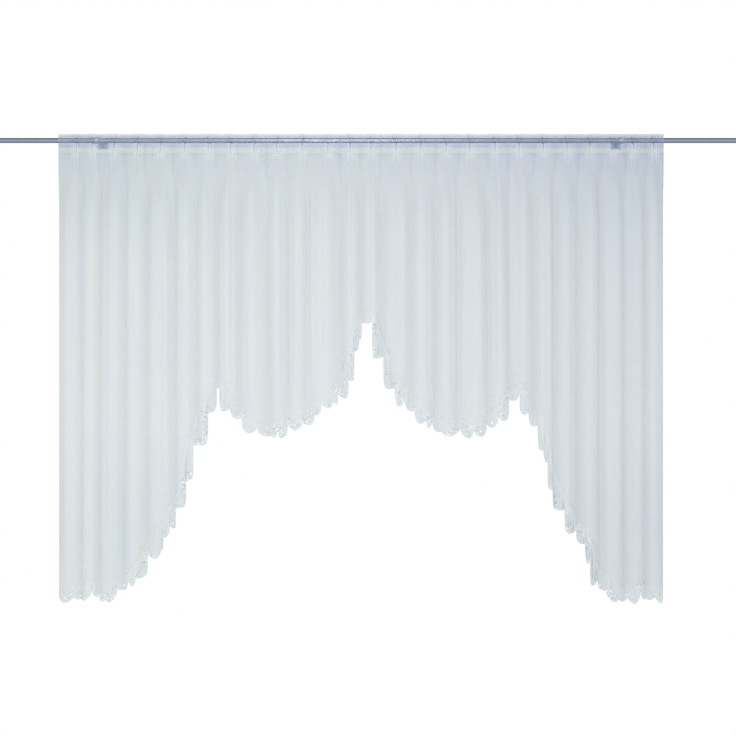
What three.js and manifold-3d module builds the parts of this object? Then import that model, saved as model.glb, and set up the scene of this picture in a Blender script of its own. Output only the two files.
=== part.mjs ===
// A gathered sheer curtain with a two-swag arched lower edge and a scalloped lace edging,
// hung by wire rings on a round steel rod that two brackets hold off the wall.
// Lengths are millimetres. X runs along the rod, the room is on the -Y side, +Z is up.
// The origin is on the wall, at the height of the rod's axis, in the middle of the curtain.
import * as THREE from "three";
import { mergeVertices } from "three/addons/utils/BufferGeometryUtils.js";
import Module from "manifold-3d";

const wasm = await Module();
wasm.setup();

// Driving dimensions.
const GAP = 0.3;
const CURTAIN_HALF_WIDTH = 1000;
const TOP_ABOVE_AXIS = 18;
const LONGEST_DROP = 1530;
const VOILE_THICKNESS = 1.2;

const ROD = { y: -85, radius: 8, wall: 1, length: 2520, sides: 24 };
const CAP = { radius: 9, length: 10, spigot: 12, edge: 1.5 };
const BRACKET = {
  centres: { left: -877, right: 864 },
  holderRadius: 10.3,
  holderWidth: 14,
  bossRadius: 7,
  bossReach: 10.8,
  armRadius: 5,
  armSides: 16,
  plateWidth: 34,
  plateHeight: 24,
  plateThickness: 3,
};
const RING = { wireRadius: 1, loopRadius: 11.5, tailEnd: -38, openAngle: 52, sides: 4, steps: 13 };
const TAPE = { thickness: 1, top: -22, bottom: -46 };
const LACE = {
  thickness: 1.2,
  width: 38,
  sideWidth: 30,
  lap: 8,
  backing: 14,
  eyeletFoot: 12,
  eyeletHeight: 10,
};

// The heading: at each ring the tape draws the cloth into a pair of small pleats.
const PLEAT = { depth: 6, halfWidth: 6, foot: -46, fade: -105 };

// Below the heading the cloth opens into one deep fold for each ring.
const FOLD = { depth: 42, start: -60, full: -260, lean: 0.085, roundness: 1.5, sideValley: 0.2 };

// A row for each fold, from left to right. ring is where its ring hangs on the rod. The fold ends
// at a valley on its right, whose place is given at the heading (valleyTop) and at the hem
// (valleyFoot). valley is how far back it runs, and crest how far forward the fold stands, both
// as a share of the depth.
const FOLDS = rowsOf(
  ["ring", "valleyTop", "valleyFoot", "valley", "crest"],
  [
    [-943, -928, -928, 0.35, 0.45],
    [-890, -867, -872, 0.55, 0.4],
    [-817, -781, -791, 0.5, 0.5],
    [-740, -714, -714, 0.45, 0.55],
    [-664, -621, -621, 0.65, 0.5],
    [-583, -548, -548, 0.4, 0.55],
    [-506, -480, -476, 0.5, 0.45],
    [-432, -407, -407, 0.45, 0.5],
    [-354, -312, -305, 0.7, 0.55],
    [-278, -242, -242, 0.3, 0.5],
    [-194, -179, -179, 0.25, 0.4],
    [-110, -68, -58, 0.7, 0.6],
    [-37, -2, 9, 0.6, 0.45],
    [33, 66, 75, 0.5, 0.4],
    [114, 166, 166, 0.45, 0.6],
    [196, 246, 246, 0.65, 0.5],
    [280, 320, 320, 0.45, 0.55],
    [359, 418, 428, 0.5, 0.6],
    [443, 485, 498, 0.65, 0.4],
    [522, 571, 578, 0.5, 0.55],
    [603, 641, 641, 0.45, 0.45],
    [682, 718, 718, 0.65, 0.5],
    [757, 793, 793, 0.45, 0.55],
    [830, 875, 875, 0.65, 0.5],
    [900, 942, 942, 0.45, 0.45],
    [968, 1000, 1000, 0.2, 0.4],
  ],
);

// A row for each scallop of the lace, from left to right: its tip, and the notch where it meets
// the next one. x is measured from the middle of the curtain, drop down from the rod's axis.
const EDGE_START = { notchX: -1000, notchDrop: 1506 };
const SCALLOPS = rowsOf(
  ["tipX", "tipDrop", "notchX", "notchDrop"],
  [
    [-976, 1528, -946, 1509],
    [-924, 1524, -887, 1486],
    [-850, 1524, -839, 1517],
    [-827, 1524, -805, 1487],
    [-790, 1492, -764, 1453],
    [-752, 1474, -741, 1449],
    [-727, 1448, -705, 1371],
    [-676, 1383, -658, 1360],
    [-653, 1353, -649, 1315],
    [-642, 1313, -632, 1275],
    [-621, 1289, -613, 1223],
    [-598, 1215, -574, 1134],
    [-568, 1125, -554, 1014],
    [-528, 1009, -503, 906],
    [-495, 901, -474, 822],
    [-448, 897, -430, 890],
    [-409, 926, -395, 917],
    [-362, 970, -341, 948],
    [-300, 984, -275, 961],
    [-261, 986, -242, 941],
    [-216, 961, -193, 933],
    [-171, 945, -152, 908],
    [-143, 911, -129, 874],
    [-105, 888, -92, 866],
    [-80, 875, -75, 842],
    [-53, 857, -41, 798],
    [-32, 798, -22, 702],
    [-16, 700, -6, 661],
    [-2, 661, 3, 606],
    [23, 609, 36, 603],
    [53, 724, 74, 718],
    [96, 824, 111, 822],
    [126, 881, 143, 865],
    [168, 900, 177, 895],
    [194, 939, 214, 928],
    [222, 954, 235, 931],
    [256, 968, 264, 965],
    [292, 980, 329, 954],
    [354, 987, 370, 961],
    [395, 982, 416, 941],
    [432, 953, 452, 918],
    [471, 930, 492, 863],
    [506, 864, 521, 834],
    [536, 908, 550, 902],
    [571, 949, 584, 945],
    [595, 1028, 600, 1026],
    [610, 1067, 613, 1066],
    [627, 1156, 633, 1154],
    [652, 1225, 669, 1219],
    [691, 1300, 713, 1291],
    [727, 1337, 737, 1335],
    [744, 1398, 752, 1389],
    [762, 1470, 780, 1449],
    [800, 1491, 808, 1490],
    [837, 1525, 847, 1517],
    [874, 1529, 882, 1517],
    [897, 1530, 919, 1488],
    [941, 1522, 968, 1508],
    [989, 1530, 1000, 1516],
  ],
);

// Where the points of a wide and of a narrow scallop lie, as shares of its width. The eyelet of
// a wide one is between its third and fourth points.
const WIDE_SCALLOP = { from: 26, shares: [0, 0.2, 0.42, 0.58, 0.8], eyelet: 2 };
const NARROW_SCALLOP = { shares: [0, 0.35, 0.65] };
// A fold has three points on each side of its crest, and a narrow face along each valley.
const FOLD_SHARES = [0.06, 0.22, 0.4, 0.6, 0.78, 0.94];

// A scallop is half an ellipse where its two sides are equally tall. Each squareStep of height
// between its tip and its notch makes it squarer by one power.
const SCALLOP = { roundPower: 2, squareStep: 40 };
// Between the heading and the lace the voile has a line of points half way down the opening of
// the folds, and two more below it.
const VOILE_LINES = { opening: 0.55, upper: 0.35, lower: 0.7 };

// How often a search for a place on the cloth halves its range.
const HALVINGS = 32;
// At a sharp crease the sheet's faces move apart by at most one over this share.
const MITRE_LIMIT = 0.5;
const MERGE_DISTANCE = 1e-4;

// Materials, one for each finish.
const voileCloth = cloth(0xe6ecf0, 0.9);
const tapeCloth = cloth(0xf0f3f5, 0.85);
const laceCloth = cloth(0xf2f5f6, 0.9);
const rodSteel = steel(0x8b93aa, 0.35);
const ringSteel = steel(0x6e7488, 0.3);
const bracketSteel = steel(0x5c6278, 0.45);

function cloth(color, roughness) {
  return new THREE.MeshStandardMaterial({
    color,
    roughness,
    metalness: 0,
    side: THREE.DoubleSide,
  });
}

function steel(color, roughness) {
  return new THREE.MeshStandardMaterial({ color, roughness, metalness: 0.9 });
}

function rowsOf(columns, rows) {
  return rows.map((row) => Object.fromEntries(columns.map((name, i) => [name, row[i]])));
}

function mix(from, to, share) {
  return from + (to - from) * share;
}

function smoothStep(from, to, value) {
  const share = Math.min(1, Math.max(0, (value - from) / (to - from)));
  return share * share * (3 - 2 * share);
}

// Across the cloth a place is given as u: the number of the fold, plus the share of its width.
// valleyLine(n, z) is the x of the left side of fold n at height z.
function valleyLine(n, z) {
  if (n === 0) return -CURTAIN_HALF_WIDTH;
  const fold = FOLDS[n - 1];
  return mix(fold.valleyTop, fold.valleyFoot, smoothStep(FOLD.start, -LONGEST_DROP, z));
}

// How far back the valley on the left of fold n runs, as a share of the depth.
function valleyDepth(n) {
  return n === 0 ? FOLD.sideValley : FOLDS[n - 1].valley;
}

// The middle plane of the heading lies in front of the rings, with the tape between them.
const pleatSlope = Math.hypot(PLEAT.depth, PLEAT.halfWidth) / PLEAT.halfWidth;
const tapeBehind = VOILE_THICKNESS / 2 + GAP + TAPE.thickness;
const ringFront = RING.loopRadius + RING.wireRadius;
const headingY = ROD.y - ringFront - GAP - tapeBehind * pleatSlope;

// How far the pleats at the nearest ring stand forward at x: two crests beside the ring.
function pleatAt(x) {
  const away = Math.min(...FOLDS.map((fold) => Math.abs(x - fold.ring)));
  const toCrest = Math.abs(away - PLEAT.halfWidth);
  return PLEAT.depth * Math.max(0, 1 - toCrest / PLEAT.halfWidth);
}

// The middle surface of the hanging cloth at u across and height z. The folds lean outwards, so
// their crests are broad and the valleys between them narrow.
function clothPoint(u, z) {
  const n = Math.min(FOLDS.length - 1, Math.floor(u));
  const share = u - n;
  const left = valleyLine(n, z);
  const right = valleyLine(n + 1, z);
  const x = mix(left, right, share);
  const opened = smoothStep(FOLD.start, FOLD.full, z);
  const forward = Math.max(0, Math.sin(Math.PI * share)) ** FOLD.roundness;
  const valley = mix(valleyDepth(n), valleyDepth(n + 1), share);
  const fold = FOLD.depth * mix(valley, -FOLDS[n].crest, forward);
  const pleat = pleatAt(x) * (1 - smoothStep(PLEAT.foot, PLEAT.fade, z));
  const lean = FOLD.lean * (right - left) * Math.sin(2 * Math.PI * share) * opened;
  return new THREE.Vector3(x - lean, headingY + fold * opened - pleat, z);
}

// The u at which the hanging cloth passes x at height z, found by halving.
function acrossAt(x, z) {
  let low = 0;
  let high = FOLDS.length;
  for (let i = 0; i < HALVINGS; i += 1) {
    const middle = (low + high) / 2;
    if (clothPoint(middle, z).x < x) low = middle;
    else high = middle;
  }
  return (low + high) / 2;
}

// The lower outline. A scallop is a rounded step: square at a tall side, round at a low one.
function scallopDrop(tip, notch, share) {
  const squareness = SCALLOP.roundPower + Math.abs(tip - notch) / SCALLOP.squareStep;
  const rise = (1 - (1 - share) ** squareness) ** (1 / squareness);
  return mix(notch, tip, rise);
}

const edgePoints = [];
SCALLOPS.forEach((scallop, i) => {
  const start = i === 0 ? EDGE_START : SCALLOPS[i - 1];
  const wide = scallop.notchX - start.notchX >= WIDE_SCALLOP.from;
  const { shares } = wide ? WIDE_SCALLOP : NARROW_SCALLOP;
  shares.forEach((share, k) => {
    const left = share < 0.5;
    const x = left
      ? mix(start.notchX, scallop.tipX, share * 2)
      : mix(scallop.tipX, scallop.notchX, share * 2 - 1);
    const drop = left
      ? scallopDrop(scallop.tipDrop, start.notchDrop, share * 2)
      : scallopDrop(scallop.tipDrop, scallop.notchDrop, 2 - share * 2);
    edgePoints.push({ x, drop, eyelet: wide && k === WIDE_SCALLOP.eyelet });
  });
});
const lastScallop = SCALLOPS[SCALLOPS.length - 1];
edgePoints.push({ x: lastScallop.notchX, drop: lastScallop.notchDrop, eyelet: false });

function edgeDrop(x) {
  const first = edgePoints[0];
  if (x <= first.x) return first.drop;
  const next = edgePoints.findIndex((point) => point.x > x);
  if (next < 0) return edgePoints[edgePoints.length - 1].drop;
  const from = edgePoints[next - 1];
  const to = edgePoints[next];
  return mix(from.drop, to.drop, (x - from.x) / (to.x - from.x));
}

// The seam of the lace runs inside the outline, the lace's width above it and beside it.
const SEAM_STEPS = 8;

function insetDrop(x) {
  let drop = Infinity;
  for (let i = -SEAM_STEPS; i <= SEAM_STEPS; i += 1) {
    const side = i / SEAM_STEPS;
    const width = LACE.width * Math.sqrt(1 - side * side);
    drop = Math.min(drop, edgeDrop(x + side * LACE.sideWidth) - width);
  }
  return drop;
}

function seamDrop(x) {
  let sum = 0;
  for (let i = -SEAM_STEPS; i <= SEAM_STEPS; i += 1) {
    sum += insetDrop(x + ((i / SEAM_STEPS) * LACE.sideWidth) / 2);
  }
  return sum / (2 * SEAM_STEPS + 1);
}

for (const point of edgePoints) {
  point.u = acrossAt(point.x, -point.drop);
  point.seam = seamDrop(point.x);
}

// Columns of points across the cloth, as values of u.
const edgeColumns = edgePoints.map((point) => point.u);
const foldColumns = [0, ...FOLDS.flatMap((_, n) => FOLD_SHARES.map((share) => n + share)), FOLDS.length];

const headingColumns = [0];
for (const { ring } of FOLDS) {
  for (let i = -2; i <= 2; i += 1) {
    headingColumns.push(acrossAt(ring + i * PLEAT.halfWidth, PLEAT.foot));
  }
}
headingColumns.push(FOLDS.length);

// The seam's drop at any u, read off between the points of the lower edge.
function seamAt(u) {
  const inner = edgePoints.slice(1, -1).filter((point) => point.u <= u).length;
  const from = edgePoints[inner];
  const to = edgePoints[inner + 1];
  const share = Math.min(1, Math.max(0, (u - from.u) / (to.u - from.u)));
  return mix(from.seam, to.seam, share);
}

// One line of points across the cloth. heights[i] is the height of column i, and offset moves
// the line square to the folded cloth, forward where it is positive.
function clothRow(columns, heights, offset) {
  return columns.map((u, i) => {
    const here = clothPoint(u, heights[i]);
    const before = i > 0 ? clothPoint(columns[i - 1], heights[i]) : null;
    const after = i < columns.length - 1 ? clothPoint(columns[i + 1], heights[i]) : null;
    const sides = [];
    if (before) sides.push(forwardNormal(before, here));
    if (after) sides.push(forwardNormal(here, after));
    const normal = sides.reduce((sum, side) => sum.add(side), new THREE.Vector3()).normalize();
    const mitre = 1 / Math.max(MITRE_LIMIT, normal.dot(sides[0].normalize()));
    return { u, point: here.addScaledVector(normal, offset * mitre), normal, mitre };
  });
}

function forwardNormal(from, to) {
  return new THREE.Vector3(to.y - from.y, from.x - to.x, 0).normalize();
}

// A closed sheet from lines of points, the top one first. Lines next to each other may have
// different numbers of points. Cells that isOpen(line, column) names are left open.
function sheet(rows, thickness, isOpen = () => false) {
  const front = [];
  const back = [];
  const starts = rows.map((row) => {
    const start = front.length;
    for (const { point, normal, mitre } of row) {
      front.push(point.clone().addScaledVector(normal, (thickness / 2) * mitre));
      back.push(point.clone().addScaledVector(normal, (-thickness / 2) * mitre));
    }
    return start;
  });
  const triangles = [];
  for (let line = 0; line < rows.length - 1; line += 1) {
    const upper = rows[line];
    const lower = rows[line + 1];
    let i = 0;
    let k = 0;
    while (i < upper.length - 1 || k < lower.length - 1) {
      const atUpper = starts[line] + i;
      const atLower = starts[line + 1] + k;
      const open = upper.length === lower.length && isOpen(line, Math.min(i, k));
      const lowerFirst =
        i === upper.length - 1 || (k < lower.length - 1 && lower[k + 1].u <= upper[i + 1].u);
      if (lowerFirst) {
        if (!open) triangles.push([atUpper, atLower, atLower + 1]);
        k += 1;
      } else {
        if (!open) triangles.push([atUpper, atLower, atUpper + 1]);
        i += 1;
      }
    }
  }
  return closeSheet(front, back, triangles);
}

// Joins a front face and its copy at the back with a wall along every open edge.
function closeSheet(front, back, triangles) {
  const openEdges = new Map();
  const indices = [];
  for (const [a, b, c] of triangles) {
    indices.push(a, b, c, a + front.length, c + front.length, b + front.length);
    for (const [from, to] of [
      [a, b],
      [b, c],
      [c, a],
    ]) {
      if (!openEdges.delete(`${to} ${from}`)) openEdges.set(`${from} ${to}`, [from, to]);
    }
  }
  for (const [from, to] of openEdges.values()) {
    indices.push(to, from, from + front.length);
    indices.push(to, from + front.length, to + front.length);
  }
  const geometry = new THREE.BufferGeometry().setFromPoints([...front, ...back]);
  geometry.setIndex(indices);
  geometry.computeVertexNormals();
  return geometry;
}

function level(columns, height) {
  return columns.map(() => height);
}

// The voile panel: heading, opening folds, and the arched lower edge where the lace is sewn on.
function voilePanel() {
  const hung = (share) => foldColumns.map((u) => mix(FOLD.full, -seamAt(u), share));
  const lapTop = edgePoints.map((point) => -point.seam + LACE.backing);
  const lapFoot = edgePoints.map((point) => -point.seam);
  const rows = [
    clothRow(headingColumns, level(headingColumns, TOP_ABOVE_AXIS), 0),
    clothRow(headingColumns, level(headingColumns, PLEAT.foot), 0),
    clothRow(foldColumns, level(foldColumns, PLEAT.fade), 0),
    clothRow(foldColumns, level(foldColumns, mix(FOLD.start, FOLD.full, VOILE_LINES.opening)), 0),
    clothRow(foldColumns, hung(0), 0),
    clothRow(foldColumns, hung(VOILE_LINES.upper), 0),
    clothRow(foldColumns, hung(VOILE_LINES.lower), 0),
    clothRow(edgeColumns, lapTop, 0),
    clothRow(edgeColumns, lapFoot, 0),
  ];
  return sheet(rows, VOILE_THICKNESS);
}

// The heading tape lies on the back of the voile and follows its pleats.
function headingTape() {
  const behind = -(VOILE_THICKNESS / 2 + GAP + TAPE.thickness / 2);
  const rows = [TAPE.top, TAPE.bottom].map((height) =>
    clothRow(headingColumns, level(headingColumns, height), behind),
  );
  return sheet(rows, TAPE.thickness);
}

// The lace edging is sewn on the front of the voile's lower edge, with an eyelet in each wide
// scallop.
function laceEdging() {
  const ahead = VOILE_THICKNESS / 2 + GAP + LACE.thickness / 2;
  const eyeletTop = LACE.eyeletFoot + LACE.eyeletHeight;
  const heights = [
    edgePoints.map((point) => -point.seam + LACE.lap),
    edgePoints.map((point) => -point.drop + eyeletTop),
    edgePoints.map((point) => -point.drop + LACE.eyeletFoot),
    edgePoints.map((point) => -point.drop),
  ];
  const rows = heights.map((row) => clothRow(edgeColumns, row, ahead));
  return sheet(rows, LACE.thickness, (line, column) => line === 1 && edgePoints[column].eyelet);
}

// The ring hangs on the top of the rod. Its wire is straight between steps, so between them it
// comes closer to the rod than its radius.
const ringTurn = Math.PI * 2 - THREE.MathUtils.degToRad(RING.openAngle);
const wireLength = ringTurn * RING.loopRadius - RING.tailEnd;
const stepAngle = wireLength / RING.steps / RING.loopRadius;
const ringInside = RING.loopRadius * Math.cos(stepAngle / 2) - RING.wireRadius;
const ringCentre = ROD.radius + GAP - ringInside;

// A ring's wire: up the back of the tape, then round the rod, ending short of its own tail.
class RingPath extends THREE.Curve {
  getPoint(share) {
    const tail = ringCentre - RING.tailEnd;
    const along = share * (tail + ringTurn * RING.loopRadius);
    if (along <= tail) return new THREE.Vector3(0, -RING.loopRadius, RING.tailEnd + along);
    const angle = (along - tail) / RING.loopRadius;
    return new THREE.Vector3(
      0,
      -RING.loopRadius * Math.cos(angle),
      ringCentre + RING.loopRadius * Math.sin(angle),
    );
  }
}

function hookRing() {
  const section = new THREE.Shape().absarc(0, 0, RING.wireRadius, 0, Math.PI * 2);
  return new THREE.ExtrudeGeometry(section, {
    curveSegments: RING.sides / 2,
    steps: RING.steps,
    extrudePath: new RingPath(),
    bevelEnabled: false,
  });
}

// The rod is a tube, closed at each end by a cap whose spigot fits inside it.
function rodTube() {
  const inner = ROD.radius - ROD.wall;
  const half = ROD.length / 2;
  const profile = [
    new THREE.Vector2(inner, -half),
    new THREE.Vector2(ROD.radius, -half),
    new THREE.Vector2(ROD.radius, half),
    new THREE.Vector2(inner, half),
    new THREE.Vector2(inner, -half),
  ];
  return new THREE.LatheGeometry(profile, ROD.sides).rotateZ(-Math.PI / 2);
}

function rodCap() {
  const spigotRadius = ROD.radius - ROD.wall - GAP;
  const profile = [
    new THREE.Vector2(0, -CAP.spigot),
    new THREE.Vector2(spigotRadius, -CAP.spigot),
    new THREE.Vector2(spigotRadius, 0),
    new THREE.Vector2(CAP.radius, 0),
    new THREE.Vector2(CAP.radius, CAP.length - CAP.edge),
    new THREE.Vector2(CAP.radius - CAP.edge, CAP.length),
    new THREE.Vector2(0, CAP.length),
  ];
  return new THREE.LatheGeometry(profile, ROD.sides).rotateZ(-Math.PI / 2);
}

function solidOf(geometry) {
  const bare = geometry.clone();
  bare.deleteAttribute("normal");
  bare.deleteAttribute("uv");
  const merged = mergeVertices(bare, MERGE_DISTANCE);
  const mesh = new wasm.Mesh({
    numProp: 3,
    vertProperties: new Float32Array(merged.attributes.position.array),
    triVerts: new Uint32Array(merged.index.array),
  });
  return new wasm.Manifold(mesh);
}

function geometryOf(solid) {
  const mesh = solid.getMesh();
  const geometry = new THREE.BufferGeometry();
  geometry.setAttribute("position", new THREE.BufferAttribute(mesh.vertProperties, 3));
  geometry.setIndex(new THREE.BufferAttribute(mesh.triVerts, 1));
  geometry.computeVertexNormals();
  return geometry;
}

// A bracket: a holder round the rod with a round boss in front, an arm, and a plate on the wall.
// Its own origin is on the rod's axis.
function wallBracket() {
  const toWall = -ROD.y;
  const holder = new THREE.CylinderGeometry(
    BRACKET.holderRadius,
    BRACKET.holderRadius,
    BRACKET.holderWidth,
    ROD.sides,
  ).rotateZ(Math.PI / 2);
  const boss = new THREE.CylinderGeometry(
    BRACKET.bossRadius,
    BRACKET.bossRadius,
    BRACKET.bossReach,
    ROD.sides,
  ).translate(0, -BRACKET.bossReach / 2, 0);
  const armLength = toWall - BRACKET.plateThickness / 2;
  const arm = new THREE.CylinderGeometry(
    BRACKET.armRadius,
    BRACKET.armRadius,
    armLength,
    BRACKET.armSides,
  ).translate(0, armLength / 2, 0);
  const plate = new THREE.BoxGeometry(
    BRACKET.plateWidth,
    BRACKET.plateThickness,
    BRACKET.plateHeight,
  ).translate(0, toWall - BRACKET.plateThickness / 2, 0);
  const bore = new THREE.CylinderGeometry(
    ROD.radius + GAP,
    ROD.radius + GAP,
    BRACKET.holderWidth * 2,
    ROD.sides,
  ).rotateZ(Math.PI / 2);
  const joined = [boss, arm, plate].reduce((sum, piece) => sum.add(solidOf(piece)), solidOf(holder));
  return geometryOf(joined.subtract(solidOf(bore)));
}

const curtain = new THREE.Group();

function place(parent, name, geometry, material, x = 0) {
  const mesh = new THREE.Mesh(geometry, material.clone());
  mesh.name = name;
  mesh.position.x = x;
  parent.add(mesh);
  return mesh;
}

place(curtain, "voile_panel", voilePanel(), voileCloth);
place(curtain, "heading_tape", headingTape(), tapeCloth);
place(curtain, "lace_edging", laceEdging(), laceCloth);

// What lies on the rod's axis is placed in the rod's own group.
const rodGroup = new THREE.Group();
rodGroup.position.y = ROD.y;
curtain.add(rodGroup);

place(rodGroup, "rod", rodTube(), rodSteel);
const capX = ROD.length / 2 + GAP;
place(rodGroup, "rod_cap_right", rodCap(), bracketSteel, capX);
place(rodGroup, "rod_cap_left", rodCap(), bracketSteel, -capX).rotation.z = Math.PI;

for (const [side, x] of Object.entries(BRACKET.centres)) {
  place(rodGroup, `bracket_${side}`, wallBracket(), bracketSteel, x);
}

const ringShape = hookRing();
FOLDS.forEach((fold, i) => {
  const number = String(i + 1).padStart(2, "0");
  place(rodGroup, `hook_ring_${number}`, ringShape, ringSteel, fold.ring);
});

export default curtain;
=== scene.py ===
import math
import random

import bmesh
import bpy
import numpy as np
from bpy.props import FloatProperty, FloatVectorProperty, IntProperty, PointerProperty
from mathutils import Matrix, Vector


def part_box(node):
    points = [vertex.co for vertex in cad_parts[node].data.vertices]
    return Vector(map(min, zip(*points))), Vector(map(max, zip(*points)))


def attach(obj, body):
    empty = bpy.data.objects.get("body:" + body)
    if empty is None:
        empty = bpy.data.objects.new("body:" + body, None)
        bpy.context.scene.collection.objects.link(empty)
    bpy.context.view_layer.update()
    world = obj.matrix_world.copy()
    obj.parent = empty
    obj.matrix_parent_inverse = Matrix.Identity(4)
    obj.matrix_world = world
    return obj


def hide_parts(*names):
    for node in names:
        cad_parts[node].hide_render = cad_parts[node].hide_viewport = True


bl_info = {
    "name": "Sheer Curtain with Rod",
    "version": (1, 0, 0),
    "blender": (4, 5, 0),
    "location": "View3D > Sidebar > Curtain",
    "description": "Dresses a gathered voile curtain with a lace edge, its rings, rod and brackets",
    "category": "Object",
}

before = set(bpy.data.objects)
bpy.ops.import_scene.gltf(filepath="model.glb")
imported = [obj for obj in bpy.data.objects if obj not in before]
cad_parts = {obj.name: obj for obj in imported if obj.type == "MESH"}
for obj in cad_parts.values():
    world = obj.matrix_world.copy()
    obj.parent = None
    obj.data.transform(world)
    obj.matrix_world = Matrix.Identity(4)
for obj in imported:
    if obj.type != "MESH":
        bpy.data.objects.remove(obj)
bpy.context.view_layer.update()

MM = 0.001
BODY = "root"
SMOOTH_ANGLE = math.radians(40)

# Sizes that the cloth shares with its solids, in metres.
HALF_WIDTH = 1.0
TOP = 0.018
LONGEST_DROP = 1.53
ROD_Y = -0.085
HEADING_Y = -0.1005
TAPE_TOP = -0.022
TAPE_BOTTOM = -0.046
FOLD_START = -0.06
FOLD_FULL = -0.26

# The tallest pleat of the heading. Below the tape, how much broader the pleats are 120 mm further
# down, and the height at which they have faded.
FULL_PLEAT = 6 * MM
PLEAT_FAN = 0.9
PLEAT_FADE = -0.17

# A row for each fold, from left to right, in millimetres: where its ring hangs, the valley on its
# right at the heading and at the hem, and how far back the valley and how far forward the crest
# stand, as shares of the fold's depth.
FOLD_COLUMNS = ("ring", "valley_top", "valley_foot", "valley", "crest")
FOLD_ROWS = [
    (-943, -928, -928, 0.35, 0.45),
    (-890, -867, -872, 0.55, 0.4),
    (-817, -781, -791, 0.5, 0.5),
    (-740, -714, -714, 0.45, 0.55),
    (-664, -621, -621, 0.65, 0.5),
    (-583, -548, -548, 0.4, 0.55),
    (-506, -480, -476, 0.5, 0.45),
    (-432, -407, -407, 0.45, 0.5),
    (-354, -312, -305, 0.7, 0.55),
    (-278, -242, -242, 0.3, 0.5),
    (-194, -179, -179, 0.25, 0.4),
    (-110, -68, -58, 0.7, 0.6),
    (-37, -2, 9, 0.6, 0.45),
    (33, 66, 75, 0.5, 0.4),
    (114, 166, 166, 0.45, 0.6),
    (196, 246, 246, 0.65, 0.5),
    (280, 320, 320, 0.45, 0.55),
    (359, 418, 428, 0.5, 0.6),
    (443, 485, 498, 0.65, 0.4),
    (522, 571, 578, 0.5, 0.55),
    (603, 641, 641, 0.45, 0.45),
    (682, 718, 718, 0.65, 0.5),
    (757, 793, 793, 0.45, 0.55),
    (830, 875, 875, 0.65, 0.5),
    (900, 942, 942, 0.45, 0.45),
    (968, 1000, 1000, 0.2, 0.4),
]

# A row for each scallop of the lace, in millimetres: its tip and the notch on its right, across
# from the middle of the curtain and down from the rod's axis.
EDGE_START = (-1000, 1506)
SCALLOP_COLUMNS = ("tip_x", "tip_drop", "notch_x", "notch_drop")
SCALLOP_ROWS = [
    (-976, 1528, -946, 1509),
    (-924, 1524, -887, 1486),
    (-850, 1524, -839, 1517),
    (-827, 1524, -805, 1487),
    (-790, 1492, -764, 1453),
    (-752, 1474, -741, 1449),
    (-727, 1448, -705, 1371),
    (-676, 1383, -658, 1360),
    (-653, 1353, -649, 1315),
    (-642, 1313, -632, 1275),
    (-621, 1289, -613, 1223),
    (-598, 1215, -574, 1134),
    (-568, 1125, -554, 1014),
    (-528, 1009, -503, 906),
    (-495, 901, -479, 822),
    (-473, 826, -467, 822),
    (-448, 897, -430, 890),
    (-409, 926, -395, 917),
    (-362, 970, -341, 948),
    (-311, 983, -293, 977),
    (-287, 986, -275, 961),
    (-261, 986, -242, 941),
    (-216, 961, -193, 933),
    (-171, 945, -152, 908),
    (-143, 911, -129, 874),
    (-105, 888, -92, 866),
    (-80, 875, -75, 842),
    (-53, 857, -41, 798),
    (-32, 798, -22, 702),
    (-16, 700, -6, 661),
    (-2, 661, 3, 606),
    (23, 609, 36, 603),
    (53, 724, 74, 718),
    (96, 824, 111, 822),
    (126, 881, 143, 865),
    (168, 900, 177, 895),
    (194, 939, 214, 928),
    (222, 954, 235, 931),
    (256, 968, 264, 965),
    (292, 980, 329, 954),
    (354, 987, 370, 961),
    (395, 982, 416, 941),
    (432, 953, 452, 918),
    (471, 930, 492, 863),
    (506, 864, 521, 834),
    (536, 908, 550, 902),
    (571, 949, 584, 945),
    (595, 1028, 600, 1026),
    (610, 1067, 613, 1066),
    (627, 1156, 633, 1154),
    (652, 1225, 669, 1219),
    (691, 1300, 713, 1291),
    (727, 1337, 737, 1335),
    (744, 1398, 752, 1389),
    (762, 1470, 780, 1449),
    (800, 1491, 808, 1490),
    (837, 1525, 847, 1517),
    (874, 1529, 882, 1517),
    (897, 1530, 919, 1488),
    (941, 1522, 968, 1508),
    (989, 1530, 1000, 1516),
]

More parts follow.
